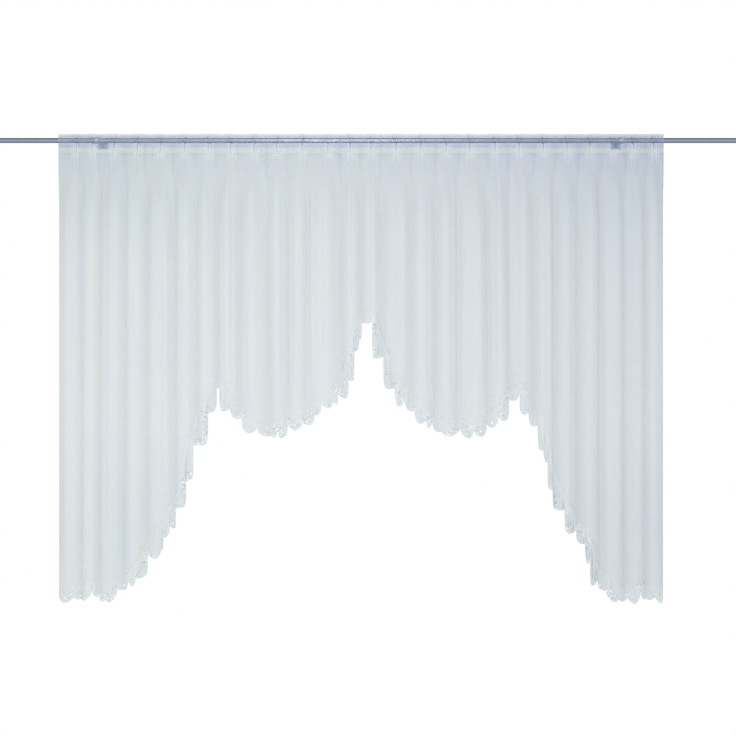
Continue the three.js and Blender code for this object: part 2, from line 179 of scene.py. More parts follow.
# Soft creases, in millimetres: across at the top and at the foot, the heights between which the crease
# runs, how far back it presses the cloth (forward where negative) and half its width.
CREASE_COLUMNS = ("top_x", "foot_x", "from_z", "to_z", "depth", "half")
CREASE_ROWS = [
    (-986, -988, -50, -1490, 3, 9),
    (-940, -944, -60, -1480, -3, 8),
    (-905, -900, -120, -1450, 2, 9),
    (-838, -842, -60, -1440, 2.4, 8),
    (-800, -806, -70, -1420, -3, 7),
    (-764, -760, -50, -1340, -3, 9),
    (-686, -690, -90, -1350, -2.4, 10),
    (-656, -652, -240, -1280, 4, 6),
    (-641, -638, -260, -1260, -4, 6),
    (-590, -596, -60, -1050, 2, 8),
    (-571, -568, -100, -1040, -3, 7),
    (-518, -512, -60, -960, -2.4, 12),
    (-460, -452, -90, -880, 2, 8),
    (-440, -442, -50, -860, -3, 8),
    (-424, -428, -160, -860, 3.4, 6),
    (-372, -366, -90, -900, -2.4, 12),
    (-340, -336, -60, -950, 2, 8),
    (-283, -278, -60, -950, -3, 10),
    (-262, -258, -130, -920, 3.2, 7),
    (-229, -226, -160, -900, 3, 6),
    (-212, -214, -50, -880, -2.6, 7),
    (-166, -162, -70, -860, -4.5, 7),
    (-128, -124, -200, -820, 2.4, 8),
    (-112, -118, -60, -800, -2.6, 7),
    (-86, -88, -60, -780, 2.2, 8),
    (-43, -40, -60, -720, -3.6, 7),
    (-30, -32, -120, -700, 3, 5),
    (17, 18, -60, -560, -4, 7),
    (40, 42, -150, -640, -4, 8),
    (58, 56, -90, -640, 2, 6),
    (92, 88, -60, -760, -2.6, 10),
    (123, 122, -110, -820, 3, 7),
    (143, 144, -60, -840, -4.4, 7),
    (190, 186, -90, -880, -2.4, 9),
    (219, 222, -110, -900, 3, 7),
    (266, 270, -50, -920, -3.2, 8),
    (298, 300, -90, -930, 2.6, 7),
    (342, 336, -60, -930, -2.6, 10),
    (360, 362, -160, -920, 2.4, 8),
    (392, 396, -220, -900, -4, 9),
    (442, 444, -60, -860, 3.6, 6),
    (458, 458, -60, -840, -3, 7),
    (495, 497, -50, -800, -4.6, 5),
    (518, 516, -60, -820, 3.2, 6),
    (540, 536, -90, -840, -2.4, 9),
    (594, 596, -60, -960, -2.8, 8),
    (607, 606, -130, -980, 2.2, 7),
    (620, 624, -100, -1000, -3.2, 6),
    (668, 664, -60, -1180, -2.6, 9),
    (690, 694, -90, -1240, 2, 9),
    (756, 752, -60, -1400, -2.6, 10),
    (786, 784, -110, -1430, 3.4, 5),
    (808, 812, -90, -1450, -3, 8),
    (850, 846, -70, -1480, -2.4, 8),
    (880, 881, -50, -1480, -4, 6),
    (894, 896, -60, -1480, 2.6, 6),
    (924, 918, -60, -1480, -2.6, 9),
    (953, 956, -50, -1480, -3.4, 8),
    (983, 984, -50, -1480, 2.4, 6),
]


def table(columns, rows):
    """A table's columns by name, each as an array."""
    return dict(zip(columns, np.array(rows, float).T))


folds = table(FOLD_COLUMNS, FOLD_ROWS)
scallops = table(SCALLOP_COLUMNS, SCALLOP_ROWS)
creases = table(CREASE_COLUMNS, CREASE_ROWS)
FOLD_COUNT = len(FOLD_ROWS)
RING_X = folds["ring"] * MM
VALLEY_TOP = np.append(-HALF_WIDTH, folds["valley_top"] * MM)
VALLEY_FOOT = np.append(-HALF_WIDTH, folds["valley_foot"] * MM)
VALLEY_DEPTH = np.append(0.2, folds["valley"])
RING_NAMES = [f"hook_ring_{number:02d}" for number in range(1, FOLD_COUNT + 1)]


def length_field(name, description, default):
    return FloatProperty(name=name, description=description, default=default, unit="LENGTH")


def colour_field(name, description, default):
    return FloatVectorProperty(
        name=name, description=description, default=default, subtype="COLOR")


class CurtainSizes(bpy.types.PropertyGroup):
    fold_depth: length_field("Fold depth", "How far the main folds run forward and back", 42 * MM)
    fold_lean: FloatProperty(
        name="Fold lean", description="How much broader the crests are than the valleys",
        default=0.085)
    minor_depth: length_field("Minor folds", "How far the small folds on a main one stand", 1.7 * MM)
    pleat_depth: length_field("Pleat depth", "How far the heading's pleats stand forward", FULL_PLEAT)
    hem_width: length_field("Side hem", "Width of the turned hem at each side", 7 * MM)
    columns_per_fold: IntProperty(
        name="Columns per fold", description="Faces across each fold of the voile", default=52)
    rows: IntProperty(name="Rows", description="Faces down the voile", default=68)
    lace_width: length_field("Lace width", "Width of the lace below the seam", 38 * MM)
    lace_lap: length_field("Lace lap", "How far the lace lies on the voile", 6 * MM)
    lace_step: length_field("Lace step", "Width of the lace's faces along its edge", 2 * MM)
    lace_rows: IntProperty(name="Lace rows", description="Faces across the lace", default=20)
    ruffle: length_field("Ruffle", "How far the lace's free edge waves", 3.4 * MM)
    tooth_pitch: length_field("Tooth pitch", "Distance between the small teeth of the lace", 8 * MM)
    tooth_height: length_field("Tooth height", "Height of the small teeth of the lace", 2.6 * MM)


class RodSizes(bpy.types.PropertyGroup):
    radius: length_field("Rod radius", "Outer radius of the rod", 8 * MM)
    wall: length_field("Rod wall", "Thickness of the tube", 1 * MM)
    length: length_field("Rod length", "Length between the caps", 2.52)
    cap_radius: length_field("Cap radius", "Radius of the end caps", 9 * MM)
    cap_length: length_field("Cap length", "Length of the end caps", 10 * MM)
    wire: length_field("Ring wire", "Radius of the rings' wire", 1 * MM)
    loop: length_field("Ring radius", "Radius of a ring to the middle of its wire", 11.5 * MM)
    ring_gap: FloatProperty(
        name="Ring opening", description="Angle between the ring's end and its tail",
        default=math.radians(52), unit="ROTATION")


class Finishes(bpy.types.PropertyGroup):
    voile: colour_field("Voile", "Colour of the voile", (0.72, 0.84, 0.89))
    # The cooler tint of uneven threads, also used as painted shade at the top, around the rod and on the
    # right of the voile.
    voile_cool_tint_and_painted_shade: colour_field("Voile shade", "Colour of the voile's denser threads", (0.56, 0.63, 0.82))
    voile_warm: colour_field(
        "Voile light", "Colour of the voile where it is a little warmer", (0.78, 0.9, 0.84))
    voile_cover: FloatProperty(
        name="Voile cover", description="Share of the voile that its threads cover",
        default=0.472, subtype="FACTOR")
    lace: colour_field("Lace", "Colour of the lace", (0.82, 0.88, 0.9))
    tape: colour_field("Tape", "Colour of the heading tape", (0.93, 0.97, 0.97))
    # Painted highlight: the rod's steel takes this lighter colour where the curtain hangs in front;
    # rod_end is the colour at its ends.
    rod: colour_field("Rod", "Colour of the rod's steel", (0.75, 0.68, 0.95))
    rod_end: colour_field("Rod, ends", "Colour of the rod's steel beside the curtain", (0.47, 0.5, 0.58))
    # Painted shade: the rod's steel painted dark along its top and its underside.
    rod_painted_shade: colour_field(
        "Rod, dark", "Colour of the rod along its top and its underside", (0.03, 0.028, 0.08))
    ring: colour_field("Rings", "Colour of the rings' wire", (0.96, 0.97, 1.0))
    # Painted shade: the rings' wire painted dark where it passes the rod's top and underside.
    ring_painted_shade: colour_field(
        "Rings, dark", "Colour of the wire at the rod's top and underside", (0.012, 0.012, 0.04))
    bracket: colour_field("Brackets", "Colour of the brackets' lacquer", (0.06, 0.055, 0.2))
    # Painted light: a lit copy of the lacquer on the bosses' fronts and the plates' lower half, so that
    # the plates' dark upper half stands as painted shadow under the rod.
    bracket_painted_light: colour_field(
        "Brackets, light", "Colour of the bosses and of the plates' lower half", (0.86, 0.85, 1.0))


def smooth_step(low, high, value):
    share = np.clip((value - low) / (high - low), 0, 1)
    return share * share * (3 - 2 * share)


def mix(low, high, share):
    return low + (high - low) * share


def valley_line(number, z):
    """The x of the left side of a fold at height z."""
    return mix(VALLEY_TOP[number], VALLEY_FOOT[number], smooth_step(FOLD_START, -LONGEST_DROP, z))


# Each fold's small folds: how many, how tall and where they begin, different on each.
dice = random.Random(7)
MINOR_COUNT = np.array([dice.choice((1.5, 2, 2.5, 3)) for _ in FOLD_ROWS])
MINOR_SHARE = np.array([dice.uniform(0.45, 1.1) for _ in FOLD_ROWS])
MINOR_PHASE = np.array([dice.uniform(0, math.tau) for _ in FOLD_ROWS])
MINOR_DRIFT = np.array([dice.uniform(-2.2, 2.2) for _ in FOLD_ROWS])

# The small pleats of the heading beside each ring, in millimetres: place, height and half width.
PLEAT_ROWS = [
    (-19, 1.4, 3), (-12.8, 2.6, 3.1), (-6.3, 6, 3.4), (0, 3.2, 2.8), (6.3, 5.6, 3.4),
    (12.8, 2.4, 3.1), (19, 1.2, 3),
]
PLEATS = [
    [
        ((place + dice.uniform(-1, 1)) * MM, height * dice.uniform(0.6, 1) * MM, half * MM)
        for place, height, half in PLEAT_ROWS
    ]
    for _ in FOLD_ROWS
]

# Small places where the cloth lies double, in millimetres: the middle across and up, half the
# width and height, and how much more the threads cover there.
MARK_ROWS = [(-971, -40, 12, 17, 0.05), (967, -67, 3, 5, 0.1), (971, -78, 3.5, 4, 0.12)]


def pleats_at(x, z):
    """How far the heading's pleats stand forward. Below the tape they fan out and fade."""
    below = np.clip((TAPE_BOTTOM - z) / 0.12, 0, None)
    fan = 1 + PLEAT_FAN * below
    fade = (1 - smooth_step(TAPE_BOTTOM, PLEAT_FADE, z)) ** 1.6
    forward = np.zeros_like(x)
    for ring, pleats in zip(RING_X, PLEATS):
        near = np.abs(x - ring) < 0.09
        if not near.any():
            continue
        for place, height, half in pleats:
            away = np.abs(x[near] - ring - place * fan[near]) / (half * (1 + 0.55 * (fan[near] - 1)))
            bump = height * fade[near] * np.cos(np.clip(away, 0, 1) * math.pi / 2) ** 1.3
            forward[near] = np.maximum(forward[near], bump)
    return forward


def creases_at(x, z, width=1.0):
    """How far the soft creases press the cloth back. A width below 1 makes each narrower."""
    back = np.zeros_like(x)
    rows = zip(*(creases[name] * MM for name in CREASE_COLUMNS))
    for top_x, foot_x, from_z, to_z, depth, half in rows:
        line = mix(top_x, foot_x, smooth_step(from_z, to_z, z))
        along = smooth_step(from_z, from_z - 0.12, z) * smooth_step(to_z, to_z + 0.2, z)
        back += depth * along * np.exp(-(((x - line) / (half * width)) ** 2))
    return back


def cloth_across(u, z, sizes):
    """The x of the hanging cloth at u, the number of the fold plus the share of its width."""
    number = np.clip(np.floor(u).astype(int), 0, FOLD_COUNT - 1)
    share = u - number
    left, right = valley_line(number, z), valley_line(number + 1, z)
    opened = smooth_step(FOLD_START, FOLD_FULL, z)
    lean = sizes.fold_lean * (right - left) * np.sin(math.tau * share) * opened
    return mix(left, right, share) - lean


def cloth_depth(u, z, sizes):
    """The y of the hanging cloth at u and height z."""
    number = np.clip(np.floor(u).astype(int), 0, FOLD_COUNT - 1)
    share = np.clip(u - number, 0, 1)
    opened = smooth_step(FOLD_START, FOLD_FULL, z)
    forward = np.sin(math.pi * share) ** 1.5
    valley = mix(VALLEY_DEPTH[number], VALLEY_DEPTH[number + 1], share)
    fold = sizes.fold_depth * mix(valley, -folds["crest"][number], forward)
    wave = np.sin(
        math.tau * MINOR_COUNT[number] * share + MINOR_PHASE[number] + MINOR_DRIFT[number] * z)
    minor = sizes.minor_depth * MINOR_SHARE[number] * wave * np.sin(math.pi * share)
    x = cloth_across(u, z, sizes)
    pleat = pleats_at(x, z) * sizes.pleat_depth / FULL_PLEAT
    gathered = smooth_step(TAPE_BOTTOM, -0.15, z)
    return HEADING_Y + fold * opened + minor * gathered + creases_at(x, z) - pleat


def u_at(x, z, sizes):
    """The u at which the hanging cloth passes x at height z, by halving."""
    low, high = np.zeros_like(x), np.full_like(x, FOLD_COUNT)
    for _ in range(30):
        middle = (low + high) / 2
        left_of = cloth_across(middle, z, sizes) < x
        low, high = np.where(left_of, middle, low), np.where(left_of, high, middle)
    return (low + high) / 2


def scallop_outline(step):
    """The lower outline as points (x, drop), the number of the scallop of each and its share."""
    points, owners, shares = [], [], []
    start = EDGE_START
    for number in range(len(SCALLOP_ROWS)):
        tip = scallops["tip_x"][number], scallops["tip_drop"][number]
        notch = scallops["notch_x"][number], scallops["notch_drop"][number]
        reach = math.dist(start, tip) + math.dist(tip, notch)
        half = max(4, round(reach * MM / step / 2))
        for side, (from_x, from_drop) in enumerate((start, notch)):
            power = max(1.4 / (1 + (abs(tip[1] - from_drop) / 60) ** 2), 0.4)
            turns = np.linspace(0, math.pi / 2, half, endpoint=False)
            turns = turns if side == 0 else math.pi / 2 - turns
            across = np.cos(turns) ** power
            down = np.sin(turns) ** power
            points += zip(tip[0] + (from_x - tip[0]) * across, from_drop + (tip[1] - from_drop) * down)
            owners += [number] * half
            shares += list((turns if side == 0 else math.pi - turns) / math.pi)
        start = notch
    points.append(start)
    owners.append(len(SCALLOP_ROWS) - 1)
    shares.append(1.0)
    return np.array(points) * MM, np.array(owners), np.array(shares)


def seam_drop(x, outline, sizes):
    """The drop of the lace's seam at x: the outline moved inwards by the lace's width."""
    side_width = 30 * MM

    def inset(at):
        lowest = np.full_like(at, np.inf)
        for side in np.linspace(-1, 1, 17):
            width = sizes.lace_width * math.sqrt(1 - side * side)
            drop = np.interp(at + side * side_width, outline[:, 0], outline[:, 1]) - width
            lowest = np.minimum(lowest, drop)
        return lowest

    shifts = np.linspace(-1, 1, 17) * side_width / 2
    return sum(inset(x + shift) for shift in shifts) / len(shifts)


class Signal:
    """A number that varies over a surface, with its node socket. Sums on it add Math nodes."""

    def __init__(self, nodes, socket):
        self.nodes = nodes
        self.socket = socket

    def math(self, operation, *others):
        values = dict(enumerate([self, *others]))
        return self.nodes.add("ShaderNodeMath", {"operation": operation}, values)

    def __add__(self, other):
        return self.math("ADD", other)

    def __sub__(self, other):
        return self.math("SUBTRACT", other)

    def __rsub__(self, other):
        return (self * -1) + other

    def __mul__(self, other):
        return self.math("MULTIPLY", other)

    def __truediv__(self, other):
        return self.math("DIVIDE", other)

    def __pow__(self, other):
        return self.math("POWER", other)

    __radd__ = __add__
    __rmul__ = __mul__

    def sine(self):
        return self.math("SINE")

    def size(self):
        return self.math("ABSOLUTE")

    def repeat(self, pitch):
        """The distance from the middle of the nearest repeat, from -pitch / 2 to pitch / 2."""
        return (self / pitch).math("FRACT") * pitch - pitch / 2

    def between(self, low, high, first=0.0, last=1.0):
        """first at low and below, last at high and above, and smooth between them."""
        span = {"interpolation_type": "SMOOTHSTEP"}
        values = dict(enumerate([self, low, high, first, last]))
        return self.nodes.add("ShaderNodeMapRange", span, values)


class Nodes:
    """The nodes of a material or a world. add() takes a node's type, its settings and the values of
    its sockets."""

    def __init__(self, owner):
        owner.use_nodes = True
        self.owner = owner
        self.tree = owner.node_tree
        self.tree.nodes.clear()

    def add(self, kind, settings=None, inputs=None, output=0):
        node = self.tree.nodes.new(kind)
        for name, value in (settings or {}).items():
            setattr(node, name, value)
        for name, value in (inputs or {}).items():
            value = value.socket if isinstance(value, Signal) else value
            if isinstance(value, bpy.types.NodeSocket):
                self.tree.links.new(value, node.inputs[name])
            else:
                node.inputs[name].default_value = value
        return Signal(self, node.outputs[output])

    def position(self):
        return self.add("ShaderNodeTexCoord", output=3)

    def axes(self, vector):
        """The three parts of a vector."""
        parts = self.add("ShaderNodeSeparateXYZ", inputs={0: vector}).socket.node.outputs
        return [Signal(self, part) for part in parts]

    def flat_cloth(self):
        """Where a point lies on the flat cloth: across and down, in metres."""
        across, down, _ = self.axes(self.add("ShaderNodeUVMap", {"uv_map": "flat"}))
        return across, down

    def attribute(self, name):
        return self.add("ShaderNodeAttribute", {"attribute_name": name}, output=2)

    def noise(self, where, scale, detail=2.0, roughness=0.5, stretch=(1, 1, 1)):
        placed = self.add("ShaderNodeMapping", inputs={"Vector": where, "Scale": stretch})
        return self.add(
            "ShaderNodeTexNoise",
            inputs={"Vector": placed, "Scale": scale, "Detail": detail, "Roughness": roughness})

    def blend(self, share, first, second):
        colours = {0: share, 6: first, 7: second}
        return self.add("ShaderNodeMix", {"data_type": "RGBA"}, colours, output=2)

    def bump(self, height, distance, strength=1.0):
        depth = {"Height": height, "Distance": distance, "Strength": strength}
        return self.add("ShaderNodeBump", inputs=depth)

    def finish(self, shader):
        kind = "World" if isinstance(self.owner, bpy.types.World) else "Material"
        output = self.tree.nodes.new("ShaderNodeOutput" + kind)
        self.tree.links.new(shader.socket, output.inputs["Surface"])
        return self.owner


def material_nodes(name):
    return Nodes(bpy.data.materials.new(name))


def opaque(colour):
    return (*colour, 1.0)


def cloth_shader(nodes, colour, back, cover, normal, through, roughness=0.85):
    """Threads that scatter light from both sides, with gaps where cover is below 1."""
    front = nodes.add(
        "ShaderNodeBsdfPrincipled",
        inputs={"Base Color": colour, "Roughness": roughness, "Normal": normal,
                "Specular IOR Level": 0.25, "Sheen Weight": 0.15, "Sheen Roughness": 0.4})
    back = nodes.add("ShaderNodeBsdfTranslucent", inputs={"Color": opaque(back), "Normal": normal})
    threads = nodes.add("ShaderNodeMixShader", inputs={0: through, 1: front, 2: back})
    gaps = nodes.add("ShaderNodeBsdfTransparent")
    return nodes.add("ShaderNodeMixShader", inputs={0: cover, 1: gaps, 2: threads})


def weave(across, down, pitch):
    """Height of a plain weave: threads across and down, each over and under the other."""
    turn = math.tau / pitch
    return (across * turn).sine() * (down * turn).sine()


def voile_tint(nodes, finishes, shade):
    """The voile's colour: soft patches of two light tints, and the cooler one where shade is 1, partly
    for uneven threads and partly as painted shade.
    """
    clouds = nodes.noise(nodes.position(), 17.0, 2.0, 0.5, (1, 0.3, 0.16))
    light = nodes.blend(clouds.between(0.38, 0.62), opaque(finishes.voile), opaque(finishes.voile_warm))
    return nodes.blend(shade.between(0, 1), light, opaque(finishes.voile_cool_tint_and_painted_shade))


def voile_material(finishes):
    """Sheer voile: a turned header above the tape, uneven threads, softly changing tint with painted
    shade in its cooler tint, and a painted shadow line under the tape.
    """
    nodes = material_nodes("sheer_voile")
    across, down = nodes.flat_cloth()
    place = nodes.add("ShaderNodeCombineXYZ", inputs={0: across, 1: down})
    threads = weave(across, down, 0.8 * MM)
    slubs = nodes.noise(place, 260.0, 2.0, 0.6, (1, 0.03, 1))
    streaks = nodes.noise(place, 60.0, 2.0, 0.5, (1, 0.012, 1))
    crossing = nodes.noise(place, 420.0, 1.0, 0.5, (0.02, 1, 1))

    def band(begun, whole, fading, gone):
        """1 between two drops below the top edge, in millimetres, and soft at both of its sides."""
        return down.between(begun * MM, whole * MM) - down.between(fading * MM, gone * MM)

    brim = 1 - down.between(4.5 * MM, 6.5 * MM)
    above = band(4.5, 6.5, 12, 14)
    header = band(28.5, 30, 39.5, 47)
    pocket = band(12.5, 14, 28, 29.5)
    taped = band(39.5, 50, 63.5, 64.5)
    # Painted shadow: a darker line just under the tape's lower edge.
    under = band(63.5, 64.5, 65, 70)
    uneven = (slubs - 0.5) * 0.06 + (streaks - 0.5) * 0.07 + (crossing - 0.5) * 0.04
    layers = header * 0.02 - taped * 0.11 + under * 0.09 - pocket * 0.24 - brim * 0.1
    cover = nodes.attribute("cover") + uneven + threads * 0.04 + layers
    # How much of the cooler tint: painted shade from shade_at, uneven threads, and the heading's bands.
    shade = nodes.attribute("shade") + (slubs - 0.5) * 0.2 + header * 0.3 - taped * 0.2
    shade = shade + above * 0.6 - brim * 0.6
    colour = voile_tint(nodes, finishes, shade)
    normal = nodes.bump(threads * 0.5 + slubs, 0.2 * MM, 0.5)
    return nodes.finish(cloth_shader(nodes, colour, finishes.voile, cover, normal, 0.4))


def tape_material(finishes):
    """A clear woven tape with cords along it and a firm sewn edge at each side."""
    nodes = material_nodes("woven_tape")
    across, down = nodes.flat_cloth()
    threads = weave(across, down, 1.1 * MM)
    cords = (down * (math.tau / (8 * MM))).sine()
    ribs = (across * (math.tau / (2.2 * MM))).sine()
    edge = (down - 12 * MM).size().between(10.6 * MM, 11.2 * MM)
    cover = threads * 0.04 + cords * 0.04 + edge * 0.2 + 0.16
    colour = nodes.blend(ribs.between(-1, 1), opaque(finishes.tape), opaque(finishes.voile_warm))
    normal = nodes.bump(threads + cords, 0.3 * MM, 0.7)
    return nodes.finish(cloth_shader(nodes, colour, finishes.tape, cover, normal, 0.3))


def lace_material(finishes):
    """Lace on a fine net: a stitched seam, flowers in a row along the edge, two rows of small
    holes, open places, a cord round each large eyelet and a corded rim."""
    nodes = material_nodes("scalloped_lace")
    along, across = nodes.flat_cloth()
    rim, eyelet = nodes.attribute("rim"), nodes.attribute("eyelet")
    place = nodes.add("ShaderNodeCombineXYZ", inputs={0: along, 1: across})
    patchy = nodes.noise(nodes.position(), 22.0, 1.0).between(0.45, 0.6)
    shown = (1 - rim.between(16 * MM, 26 * MM)) * (patchy * 0.7 + 0.3)
    flower_x = along.repeat(31 * MM)
    flower_y = rim - 16 * MM
    reach = (flower_x * flower_x + flower_y * flower_y) ** 0.5
    angle = flower_y.math("ARCTAN2", flower_x)
    petals = (angle * 6).math("COSINE") * (2 * MM) + 7.4 * MM
    outline = 1 - (petals - reach).size().between(1 * MM, 1.7 * MM)
    filling = (petals - reach).between(0.7 * MM, 1.2 * MM)
    heart = reach.between(1.8 * MM, 2.4 * MM)
    lower = row_of_holes(along, rim, 8.5, 5.4, 2)
    upper = row_of_holes(along, rim, 9.5, 12.5, 1.7)
    holes = lower.math("MINIMUM", upper).math("MINIMUM", heart)
    cord = 1 - rim.between(1.2 * MM, 1.7 * MM)
    dense = outline.math("MAXIMUM", cord * 0.6)
    dense = dense.math("MAXIMUM", 1 - eyelet.between(1.2 * MM, 1.7 * MM))
    openwork = nodes.noise(nodes.position(), 190.0, 1.0).between(0.4, 0.62) - 0.5
    seam = nodes.attribute("lap")
    lap = seam.between(-0.4 * MM, 0.4 * MM)
    stitched = (1 - (seam - 1.2 * MM).size().between(0.5 * MM, 0.8 * MM)) * patchy * 0.06
    pattern = dense * 0.14 + filling * 0.05 - (1 - holes) * 0.22 + openwork * 0.5
    cover = (1 - lap) * (nodes.attribute("cover") + pattern * shown) + lap * 0.015 + stitched
    threads = weave(along, across, 0.9 * MM)
    raised = (dense + filling * 0.5) * shown + threads * 0.25
    # The voile's tint, with its painted shade.
    cool = voile_tint(nodes, finishes, nodes.attribute("shade"))
    uneven = nodes.noise(place, 300.0)
    colour = nodes.blend(uneven.between(0.3, 0.8), cool, opaque(finishes.lace))
    normal = nodes.bump(raised, 0.4 * MM, 0.6)
    return nodes.finish(cloth_shader(nodes, colour, finishes.lace, cover, normal, 0.4))


def row_of_holes(along, rim, pitch, line, radius):
    """0 in a row of round holes, given in millimetres, that follows the edge, and 1 elsewhere."""
    x, y = along.repeat(pitch * MM), rim - line * MM
    return ((x * x + y * y) ** 0.5).between((radius - 0.3) * MM, radius * MM)


def brushed_metal(name, colour, roughness, metallic, brush, *layers):
    """Metal with fine brushing along its length, faint stains and softly uneven gloss. A layer is
    a colour and a function that gives its share from x, y and z."""
    nodes = material_nodes(name)
    where = nodes.position()
    lines = nodes.noise(where, 900.0, 2.0, 0.5, brush)
    stains = nodes.noise(where, 40.0, 3.0, 0.6)
    dark = tuple(channel * 0.8 for channel in colour)
    shade = nodes.blend(stains.between(0.35, 0.8), opaque(colour), opaque(dark))
    for layer, share in layers:
        shade = nodes.blend(share(*nodes.axes(where)), shade, opaque(layer))
    gloss = (lines - 0.5) * 0.25 + (stains - 0.5) * 0.12 + roughness
    metal = nodes.add(
        "ShaderNodeBsdfPrincipled",
        inputs={"Base Color": shade, "Roughness": gloss, "Metallic": metallic,
                "Normal": nodes.bump(lines, 0.04 * MM, 0.5)})
    return nodes.finish(metal)


def make_piece(name, bm, material, replaced):
    """A finished piece from a bmesh: smooth where its faces meet at less than SMOOTH_ANGLE."""
    for face in bm.faces:
        face.smooth = True
    for edge in bm.edges:
        edge.smooth = len(edge.link_faces) != 2 or edge.calc_face_angle(0) < SMOOTH_ANGLE
    mesh = bpy.data.meshes.new(name)
    bm.to_mesh(mesh)
    bm.free()
    mesh.materials.append(material)
    piece = bpy.data.objects.new(name, mesh)
    bpy.context.scene.collection.objects.link(piece)
    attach(piece, BODY)
    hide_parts(*replaced)
    return piece


def cloth_grid(columns, rows):
    """A grid of faces, with each point's share across and share down from the top."""
    bm = bmesh.new()
    bmesh.ops.create_grid(bm, x_segments=columns, y_segments=rows, size=0.5)
    bm.verts.ensure_lookup_table()
    flat = np.array([vert.co for vert in bm.verts])
    return bm, flat[:, 0] + 0.5, 0.5 - flat[:, 1]


def place_cloth(bm, points, flat_points, values):
    """Moves a grid's points onto the cloth, with its flat map and named values at each point."""
    for vert, point in zip(bm.verts, points):
        vert.co = point
    uv = bm.loops.layers.uv.new("flat")
    for face in bm.faces:
        for loop in face.loops:
            loop[uv].uv = flat_points[loop.vert.index]
    for name, numbers in values.items():
        layer = bm.verts.layers.float.new(name)
        for vert, number in zip(bm.verts, numbers):
            vert[layer] = number
    bm.normal_update()
    if sum(face.normal.y for face in bm.faces) > 0:
        bmesh.ops.reverse_faces(bm, faces=bm.faces)


def flat_across(u, sizes, height=-0.6):
    """How far across the flat cloth u lies: the length of the folded line at one height."""
    line = np.linspace(0, FOLD_COUNT, FOLD_COUNT * 60 + 1)
    z = np.full_like(line, height)
    x, y = cloth_across(line, z, sizes), cloth_depth(line, z, sizes)
    length = np.append(0, np.cumsum(np.hypot(np.diff(x), np.diff(y))))
    return np.interp(u, line, length)


def slope_at(u, z, sizes):
    """How steeply the cloth runs forward or back at u: the change of y for each metre of x."""
    step = 0.004
    before, after = u - step, u + step
    run = cloth_across(after, z, sizes) - cloth_across(before, z, sizes)
    rise = cloth_depth(after, z, sizes) - cloth_depth(before, z, sizes)
    return rise / np.maximum(run, 1e-6)


def shade_at(x, z):
    """How much of the cooler tint the cloth takes: painted shade at the top and on the right, and less
    on the left.
    """
    beside = 0.2 * smooth_step(-0.3, 1, x) - 0.14 * smooth_step(0.3, -0.6, x)
    return 0.22 + 0.4 * np.exp(z / 0.3) + beside


def fold_cover(x, z):
    """What the valleys add: a narrow line in each, partly cloth seen over itself and partly painted
    shade, with less, a painted light, on both sides once it has opened.
    """
    opened = smooth_step(FOLD_START, -0.22, z)
    line_cover = mix(0.14, 0.045, opened)
    hollow_cover = mix(0.15, 0.08, smooth_step(-0.22, -0.5, z)) * opened
    more = np.zeros_like(x)
    for number in range(1, FOLD_COUNT):
        away = x - valley_line(number, z)
        # line: cloth over itself and painted shade; hollow: painted light beside the valley.
        line = line_cover * np.exp(-((away / (5.5 * MM)) ** 2))
        hollow = hollow_cover * np.exp(-((away / (15 * MM)) ** 2))
        more += VALLEY_DEPTH[number] * (line - hollow)
    return more


def heading_cover(x, z):
    """What the heading adds: more towards the rod, where the cloth is gathered closely, and less on the
    pleats, as a painted highlight, and in the gathers below each ring, where the tape's edge doesn't
    show."""
    gathered = 0.215 * np.exp(z / 0.22) - 0.09 * smooth_step(4 * MM, 8 * MM, z)
    # Painted highlight: less cover along the pleats' crests.
    on_pleats = mix(0.05, 0.24, smooth_step(-0.085, -0.05, z)) * (z < -0.012)
    gathers = sum(np.exp(-(((x - ring - 3 * MM) / (17 * MM)) ** 4)) for ring in RING_X)
    tape_edge = smooth_step(-54 * MM, -52 * MM, z) * smooth_step(-44.5 * MM, -46 * MM, z)
    below_rod = smooth_step(-100 * MM, -50 * MM, z) * smooth_step(-8 * MM, -11 * MM, z)
    thinned = gathers * (0.05 * below_rod + 0.075 * tape_edge)
    return gathered - on_pleats * pleats_at(x, z) / FULL_PLEAT - thinned


def mark_cover(x, z):
    """What the small places of double cloth add."""
    more = np.zeros_like(x)
    for mark_x, mark_z, half_x, half_z, mark in MARK_ROWS:
        across = np.abs((x - mark_x * MM) / (half_x * MM))
        up = np.abs((z - mark_z * MM) / (half_z * MM))
        more += mark * np.exp(-(across ** 4 + up ** 4))
    return more


def side_cover(x, z):
    """What is added at the sides: painted shade at both upper sides and on the right, and more cover in
    the tails.
    """
    beside = 0.055 * smooth_step(-0.35, -0.8, x) + 0.03 * smooth_step(0.5, 0.85, x)
    upper = smooth_step(-0.45, -0.1, z) * beside
    return upper + 0.06 * smooth_step(-0.9, -1.3, z) + 0.045 * smooth_step(-0.1, 0.9, x)


def voile_cover(u, x, z, sizes, finishes):
    """The share that the threads cover: the woven one, a little more where the cloth turns away, and
    what the folds, the heading, the creases, the sides and the hem add. Along the creases this is
    painted shade where they press back and painted highlight where they stand forward."""
    steep = np.sqrt(1 + slope_at(u, z, sizes) ** 2)
    woven = 1 - (1 - finishes.voile_cover) ** np.clip(steep, 1, 2.4) ** 0.12
    hem = smooth_step(sizes.hem_width, sizes.hem_width * 0.9, HALF_WIDTH - np.abs(x))
    placed = fold_cover(x, z) + heading_cover(x, z) + mark_cover(x, z) + side_cover(x, z)
    # Painted shade along creases that press back, painted highlight along those that stand forward.
    return woven + placed + 6 * creases_at(x, z, 0.55) + 0.02 * hem


